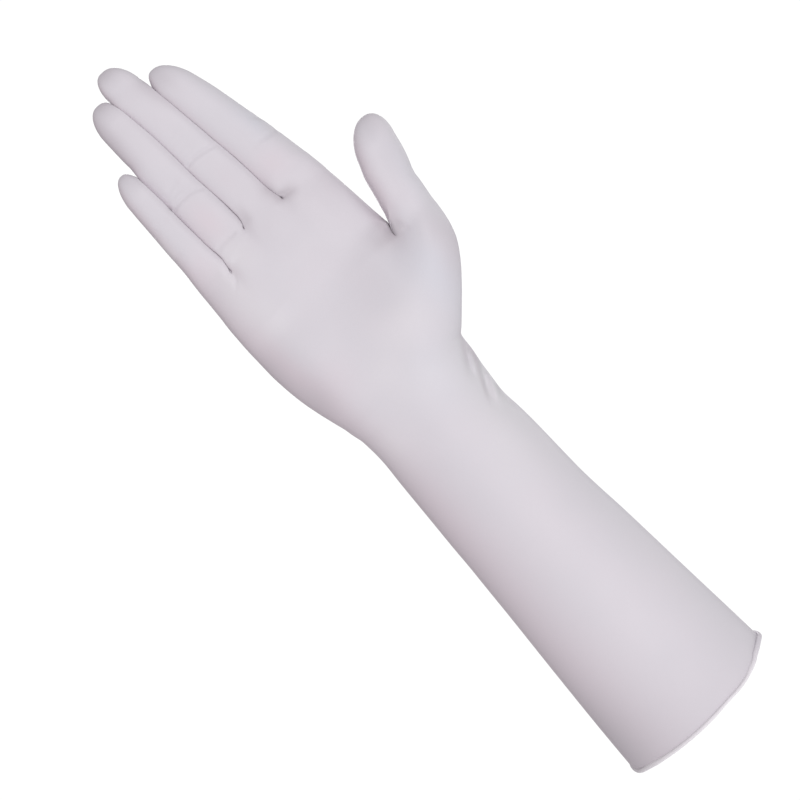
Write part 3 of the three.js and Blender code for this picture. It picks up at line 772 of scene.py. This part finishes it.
    def build_digit(self, digit, base):
        """A finger or the thumb, from the ring round its root to its round tip."""
        form = DIGIT_FORMS[digit]
        rows, root = form["rows"], form["root"]
        angle = np.radians(FIRST_CORNER + 360 * np.arange(len(base)) / len(base))
        start = self.at(base)
        end = rows["z"][-1]
        fine = FINE_DIGITS[form["name"]] if self.fine else []
        rings = [base]
        for z in spaced(root, end, self.spacing, fine)[1:]:
            settled = smooth((z - root) / DIGIT_SETTLES)
            target = section(rows, z, angle, form["squareness"], swelling(digit, z))
            lifted = self.raised(base, z - root)
            lifted[:, 0] = start[:, 0] + self.follow_contacts(start, lifted[:, 2], digit)
            rings.append(self.add(press_digit(lerp(lifted, target, settled), digit)))
        tip_rings = max(2, round((form["tip"][2] - end) / self.spacing * TIP_RINGS))
        for up in np.linspace(0, CAP_ANGLE, tip_rings + 1)[1:]:
            rings.append(self.add(self.tip_points(digit, up, angle)))
        self.join(rings)
        self.close_tip(digit, rings[-1])

    def build(self):
        """The whole of this side of the film, from its rim to the tips."""
        split = self.build_body()
        palm = self.build_palm(split)
        steps = self.steps
        webs = [self.web(palm[f * steps], self.behind(palm, FINGERS, f * steps)) for f in range(1, FINGERS)]
        for digit in range(FINGERS):
            self.build_digit(digit, self.digit_ring(palm, FINGERS, digit, webs))
        thumb_webs = [None] * (FINGERS - 1) + [self.thumb_web]
        self.build_digit(FINGERS, self.digit_ring(split, DIGITS, FINGERS, thumb_webs))
        self.points = np.array(self.points)
        self.faces = np.array(self.faces)
        self.soften_forks()
        return self

    def soften_forks(self):
        """Rounds the webs off by moving points near a fork towards their neighbours' average."""
        edges = np.concatenate([self.faces[:, [k, (k + 1) % 4]] for k in range(4)])
        count = np.zeros(len(self.points))
        np.add.at(count, edges[:, 0], 1)
        for fx, fz, radius, rounds in zip(FORKS["x"], FORKS["z"], *FORK_SOFTENING.values()):
            away = np.hypot(self.points[:, 0] - fx, self.points[:, 2] - fz)
            weight = 1 - smooth(away / radius)
            for _ in range(int(rounds)):
                total = np.zeros_like(self.points)
                np.add.at(total, edges[:, 0], self.points[edges[:, 1]])
                average = total / np.maximum(count, 1)[:, None]
                self.points += (average - self.points) * (SOFTENING * weight)[:, None]

    def normals(self):
        """The film's outward direction at each point."""
        a, b, c, d = (self.points[self.faces[:, k]] for k in range(4))
        face_normals = np.cross(c - a, d - b)
        total = np.zeros_like(self.points)
        for k in range(4):
            np.add.at(total, self.faces[:, k], face_normals)
        return total / np.linalg.norm(total, axis=1)[:, None]


def through(points, per_stretch=12):
    """A smooth line through a few points."""
    p = np.array(points, float)
    padded = np.concatenate([[2 * p[0] - p[1]], p, [2 * p[-1] - p[-2]]])
    t = (np.arange(per_stretch) / per_stretch)[:, None]
    pieces = []
    for a, b, c, d in zip(padded, padded[1:], padded[2:], padded[3:]):
        curve = 2 * b + (c - a) * t + (2 * a - 5 * b + 4 * c - d) * t**2 + (3 * b - a - 3 * c + d) * t**3
        pieces.append(0.5 * curve)
    return np.concatenate([*pieces, p[-1:]])


def along_line(x, z, line):
    """How far points are off a line, on which side of it (left is 1), and how far along it as a share."""
    start, step = line[:-1], np.diff(line, axis=0)
    length = np.hypot(step[:, 0], step[:, 1])
    dx, dz = x[:, None] - start[:, 0], z[:, None] - start[:, 1]
    share = np.clip((dx * step[:, 0] + dz * step[:, 1]) / length**2, 0, 1)
    off_x, off_z = dx - share * step[:, 0], dz - share * step[:, 1]
    away = np.hypot(off_x, off_z)
    nearest = np.argmin(away, axis=1)
    row = np.arange(len(x))
    cross = step[nearest, 0] * off_z[row, nearest] - step[nearest, 1] * off_x[row, nearest]
    before = np.concatenate([[0], np.cumsum(length)])
    reached = (before[nearest] + share[row, nearest] * length[nearest]) / before[-1]
    return away[row, nearest], np.where(cross >= 0, 1, -1), reached


def facing(normals, side, wrap=FACING_WRAP):
    """1 where the film faces a side of the hand, falling to 0 where it faces away."""
    return smooth((side * normals[:, 1] + wrap) / FACING_FADE)


def sinking(crease, points, normals):
    """Which points are near a crease or fold, and how far each of them sinks in."""
    line = through(crease["line"])
    margin = CREASE_REACH * max(crease["left"], crease["right"])
    low, high = line.min(axis=0) - margin, line.max(axis=0) + margin
    x, z = points[:, 0], points[:, 2]
    near = np.flatnonzero((x > low[0]) & (x < high[0]) & (z > low[1]) & (z < high[1]))
    away, side, reached = along_line(x[near], z[near], line)
    width = np.where(side > 0, crease["left"], crease["right"])
    strength = facing(normals[near], crease["side"])
    if crease["begin"]:
        strength *= smooth(reached / crease["begin"])
    if crease["end"]:
        strength *= smooth((1 - reached) / crease["end"])
    return near, crease["depth"] * strength * np.exp(-((away / width) ** 2))


def nail_heights(points, normals):
    """How far the nails raise the film over them."""
    height = np.zeros(len(points))
    for x, z, half_width, half_length, lean in zip(*NAILS.values()):
        across = (points[:, 0] - x - lean * (points[:, 2] - z)) / half_width
        along = (points[:, 2] - z) / half_length
        powers = np.abs(across) ** NAIL_SQUARENESS + np.abs(along) ** NAIL_SQUARENESS
        reach = powers ** (1 / NAIL_SQUARENESS)
        nail = 1 - smooth((reach - 1 + NAIL_EDGE) / (2 * NAIL_EDGE))
        height += NAIL_HEIGHT * nail * facing(normals, BACK_SIDE)
    return height


def relief(points, normals):
    """How each point moves for the folds, creases, dimples and nails."""
    height = np.zeros(len(points))
    straight = np.zeros(len(points))
    for fold in FOLDS:
        near, sunk = sinking(fold, points, normals)
        straight[near] -= fold["side"] * sunk
    for crease in CREASES:
        near, sunk = sinking(crease, points, normals)
        height[near] -= sunk
    for dimple in DIMPLES:
        height += dimple["height"] * hill(points, dimple) * facing(normals, dimple["side"])
    height += nail_heights(points, normals)
    return normals * height[:, None] + np.outer(straight, (0, 1, 0))


def add_tints_and_painted_shading(mesh, points, outside_normals, bead):
    """Keeps on the mesh how pink, blue, grey, pale and shaded each point is, mostly painted shade and light,
    the bead being pale too.
    """
    normals = np.zeros_like(points)
    normals[:, 1] = np.sign(points[:, 1])
    normals[:len(outside_normals)] = outside_normals
    amounts = {}
    for name, patches in TINTS_AND_PAINTED_SHADING.items():
        amounts[name] = np.zeros(len(points))
        for patch in patches:
            faces_it = facing(normals, patch["side"], patch.get("wrap", FACING_WRAP))
            amounts[name] += patch["height"] * hill(points, patch) * faces_it
    # painted shade at the edges, by which way the film faces
    amounts["pink"] += PAINTED_SHADE_EDGE_PINK * fade(-normals[:, 0], EDGE_PINK_FADE)
    amounts["grey"] += PAINTED_SHADE_EDGE_GREY * fade(normals[:, 0], EDGE_GREY_FADE)
    amounts["pale"] += bead
    for name, amount in amounts.items():
        attribute = mesh.attributes.new(name, "FLOAT", "POINT")
        attribute.data.foreach_set("value", np.clip(amount, 0, 1).astype(np.float32))


def rolled_edge(rim, ring, first):
    """Rings of points over the bead from a ring on the film's outside, their faces, and the last ring."""
    ahead, before = np.roll(rim, -1, axis=0), np.roll(rim, 1, axis=0)
    outward = np.stack([ahead[:, 1] - before[:, 1], before[:, 0] - ahead[:, 0], np.zeros(len(rim))], axis=1)
    outward /= np.linalg.norm(outward, axis=1)[:, None]
    half_height = roll_value("half_height", rim)
    stand_off = roll_value("proud", rim) - BEAD_HALF_DEPTH
    groove = roll_value("groove", rim)
    begin = np.arccos(np.clip((-groove - stand_off) / BEAD_HALF_DEPTH, -1, 1))
    drop = half_height * np.sin(begin) + groove
    points, faces = [], []
    for share in np.linspace(0, 1, BEAD_POINTS):
        angle = lerp(begin, BEAD_END, share)
        ring_points = rim + outward * (stand_off + BEAD_HALF_DEPTH * np.cos(angle))[:, None]
        ring_points[:, 2] += half_height * np.sin(angle) - drop
        points.append(ring_points)
        lower = range(first, first + len(rim))
        faces += band(lower, ring)
        ring = lower
        first += len(rim)
    return points, faces, ring


def closing_faces(ring, inner_rim):
    """Faces from the bead's last ring to the inside's rim, which has fewer points."""
    ratio = len(ring) // len(inner_rim)
    faces = []
    for j in range(len(inner_rim)):
        k = (j + 1) % len(inner_rim)
        fine = [ring[(j * ratio + s) % len(ring)] for s in range(ratio + 1)]
        faces.append([inner_rim[j], inner_rim[k], *fine[::-1]])
    return faces


def add_object(name, data):
    added = bpy.data.objects.new(name, data)
    bpy.context.scene.collection.objects.link(added)
    return added


def build_glove():
    """The whole film in one mesh: its outside, its inside and the rolled edge that joins them."""
    outside = Skin(OUTSIDE_STEPS, OUTSIDE_SPACING, True).build()
    inside = Skin(INSIDE_STEPS, INSIDE_SPACING, False).build()
    outside.points = outside.points + relief(outside.points, outside.normals())
    wall = lerp(FILM_AT_MOUTH, FILM_DEEP, smooth((inside.points[:, 2] - RIM_HEIGHT) / FILM_THICKENS_OVER))
    inner_normals = inside.normals()
    inner_points = inside.points + relief(inside.points, inner_normals) - inner_normals * wall[:, None]

    count = len(outside.points)
    bead_first = count + len(inner_points)
    rim = outside.points[outside.rim]
    bead_points, bead_faces, last_ring = rolled_edge(rim, outside.rim, bead_first)
    points = np.concatenate([outside.points, inner_points, *bead_points])
    faces = outside.faces.tolist() + (inside.faces[:, ::-1] + count).tolist()
    faces += bead_faces + closing_faces(last_ring, [i + count for i in inside.rim])

    mesh = bpy.data.meshes.new("nitrile_glove")
    mesh.from_pydata((points * MM).tolist(), [], faces)
    mesh.validate()
    mesh.polygons.foreach_set("use_smooth", [True] * len(mesh.polygons))
    bead = np.append(np.zeros(bead_first), np.tile(roll_value("pale", rim), BEAD_POINTS))
    add_tints_and_painted_shading(mesh, points, outside.normals(), bead)
    mesh.update()
    return add_object("nitrile_glove", mesh)


# Camera: straight at the palm, rolled as the photograph is
VIEW_DISTANCE = 0.75
MM_PER_PIXEL = 0.41
IMAGE_SIZE = 800
SENSOR = 36.0
VIEW_CENTRE = (-0.0073, 0.1735)
GLOVE_IN_IMAGE = (0.67054, 0.74187)  # which way its fingers point, as left and up shares of the picture

# Studio: soft square lights aimed at the middle of the glove, a plain room, and a floor below it. Each light
# has a name, a place, a size, a power and a colour.
LIGHT_TARGET = (0, 0, 0.17)
LIGHTS = [
    ("front_softbox", (0.31, -1.47, 0.37), 0.7, 11.4, (1, 1, 1)),
    ("side_softbox", (1.3, 1.1, 0.4), 0.9, 4.3, (0.97, 1, 0.99)),
    ("back_softbox", (0.0, 1.5, 0.6), 0.8, 8.5, (1, 1, 1)),
]
ROOM = {"Color": (1.0, 0.97, 0.99, 1), "Strength": 0.475}
BACKDROP = {"Color": (1, 1, 1, 1), "Strength": 1.05}
FLOOR_RADIUS = 0.55
FLOOR_HEIGHT = -0.26
FLOOR_CORNERS = 96
FLOOR_LOOK = {
    "Base Color": (0.86, 0.86, 0.87, 1), "Roughness": 0.9,
    "Emission Color": (1, 1, 1, 1), "Emission Strength": 0.35,
}

# The film's colours: two that drift into each other, one for each kind of tint, mostly painted shade and
# light, and a faint mottle
FILM_COLOURS = ((0.690, 0.655, 0.700), (0.672, 0.645, 0.690))
TINT_AND_PAINTED_SHADING_COLOURS = {
    "pink": (0.704, 0.628, 0.679),
    "blue": (0.655, 0.650, 0.705),
    "grey": (0.635, 0.635, 0.655),
    "shade": (0.575, 0.535, 0.575),
    "pale": (0.83, 0.80, 0.83),
}
MOTTLE_COLOUR = (0.60, 0.56, 0.60)
MOTTLE = (0, 0.06)  # its least and greatest share
ROUGHNESS = (0.5, 0.62)
SPECULAR = 0.3
GRAIN = {"Strength": 0.12, "Distance": 0.00015}


def add_camera():
    data = bpy.data.cameras.new("camera")
    field = IMAGE_SIZE * MM_PER_PIXEL * MM
    data.sensor_width = SENSOR
    data.lens = SENSOR * VIEW_DISTANCE / field
    camera = add_object("camera", data)
    left, up = GLOVE_IN_IMAGE
    rotation = Matrix(((up, 0, -left), (left, 0, up), (0, -1, 0))).transposed()
    place = Vector((VIEW_CENTRE[0], -VIEW_DISTANCE, VIEW_CENTRE[1]))
    camera.matrix_world = Matrix.Translation(place) @ rotation.to_4x4()
    bpy.context.scene.camera = camera


def add_light(name, place, size, power, colour):
    """A soft square light, which the camera doesn't see."""
    data = bpy.data.lights.new(name, "AREA")
    data.shape = "SQUARE"
    data.size = size
    data.energy = power
    data.color = colour
    light = add_object(name, data)
    light.location = place
    light.rotation_mode = "QUATERNION"
    light.rotation_quaternion = (Vector(LIGHT_TARGET) - Vector(place)).to_track_quat("-Z", "Y")
    light.visible_camera = False


def set_values(node, values):
    """Sets a node's own sockets to constant values."""
    for name, value in values.items():
        node.inputs[name].default_value = value


def add_world():
    """A room that lights the glove, and a plain white backdrop for the camera alone."""
    world = bpy.data.worlds.new("studio")
    world.use_nodes = True
    nodes, links = world.node_tree.nodes, world.node_tree.links
    nodes.clear()
    output = nodes.new("ShaderNodeOutputWorld")
    mix = nodes.new("ShaderNodeMixShader")
    path = nodes.new("ShaderNodeLightPath")
    links.new(path.outputs["Is Camera Ray"], mix.inputs["Fac"])
    for slot, look in enumerate((ROOM, BACKDROP), start=1):
        background = nodes.new("ShaderNodeBackground")
        set_values(background, look)
        links.new(background.outputs[0], mix.inputs[slot])
    links.new(mix.outputs[0], output.inputs["Surface"])
    bpy.context.scene.world = world


def nitrile_material():
    """Smooth matte film in pale lilac grey, with painted shade and light from the mesh's tints, and a fine
    grain.
    """
    material = bpy.data.materials.new("nitrile_film")
    material.use_nodes = True
    nodes, links = material.node_tree.nodes, material.node_tree.links
    shader = nodes["Principled BSDF"]
    place = nodes.new("ShaderNodeTexCoord").outputs["Object"]

    def noise(scale, detail):
        node = nodes.new("ShaderNodeTexNoise")
        set_values(node, {"Scale": scale, "Detail": detail})
        links.new(place, node.inputs["Vector"])
        return node.outputs["Fac"]

    def attribute(name):
        node = nodes.new("ShaderNodeAttribute")
        node.attribute_name = name
        return node.outputs["Fac"]

    def ramp(value, low, high, limits=(0, 1)):
        node = nodes.new("ShaderNodeMapRange")
        set_values(node, {"From Min": low, "From Max": high, "To Min": limits[0], "To Max": limits[1]})
        links.new(value, node.inputs["Value"])
        return node.outputs["Result"]

    def blend(amount, first, second):
        node = nodes.new("ShaderNodeMix")
        node.data_type = "RGBA"
        links.new(amount, node.inputs["Factor"])
        colour_inputs = [s for s in node.inputs if s.type == "RGBA"]
        for target, colour in zip(colour_inputs, (first, second)):
            if isinstance(colour, tuple):
                target.default_value = (*colour, 1)
            else:
                links.new(colour, target)
        return [s for s in node.outputs if s.type == "RGBA"][0]

    # slow drifts of tint, then the tints kept on the mesh, mostly painted shade and light, then a faint fine
    # mottle
    film = blend(ramp(noise(28, 2), 0.35, 0.65), *FILM_COLOURS)
    for name, colour in TINT_AND_PAINTED_SHADING_COLOURS.items():
        film = blend(attribute(name), film, colour)
    film = blend(ramp(noise(900, 3), 0.3, 0.7, MOTTLE), film, MOTTLE_COLOUR)
    links.new(film, shader.inputs["Base Color"])
    links.new(ramp(noise(60, 3), 0.3, 0.7, ROUGHNESS), shader.inputs["Roughness"])
    set_values(shader, {"Specular IOR Level": SPECULAR})

    grain = nodes.new("ShaderNodeBump")
    set_values(grain, GRAIN)
    links.new(noise(1400, 3), grain.inputs["Height"])
    links.new(grain.outputs["Normal"], shader.inputs["Normal"])
    return material


def add_floor():
    """A plain pale round floor that glows a little."""
    around = [2 * math.pi * i / FLOOR_CORNERS for i in range(FLOOR_CORNERS)]
    points = [(FLOOR_RADIUS * math.cos(a), FLOOR_RADIUS * math.sin(a), FLOOR_HEIGHT) for a in around]
    mesh = bpy.data.meshes.new("floor")
    mesh.from_pydata(points, [], [range(FLOOR_CORNERS)])
    floor = add_object("floor", mesh)
    material = bpy.data.materials.new("floor")
    material.use_nodes = True
    set_values(material.node_tree.nodes["Principled BSDF"], FLOOR_LOOK)
    mesh.materials.append(material)


glove = build_glove()
glove.data.materials.append(nitrile_material())
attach(glove, "root")
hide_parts("glove_film")

add_camera()
add_world()
add_floor()
for light in LIGHTS:
    add_light(*light)
bpy.context.scene.view_settings.view_transform = "Standard"
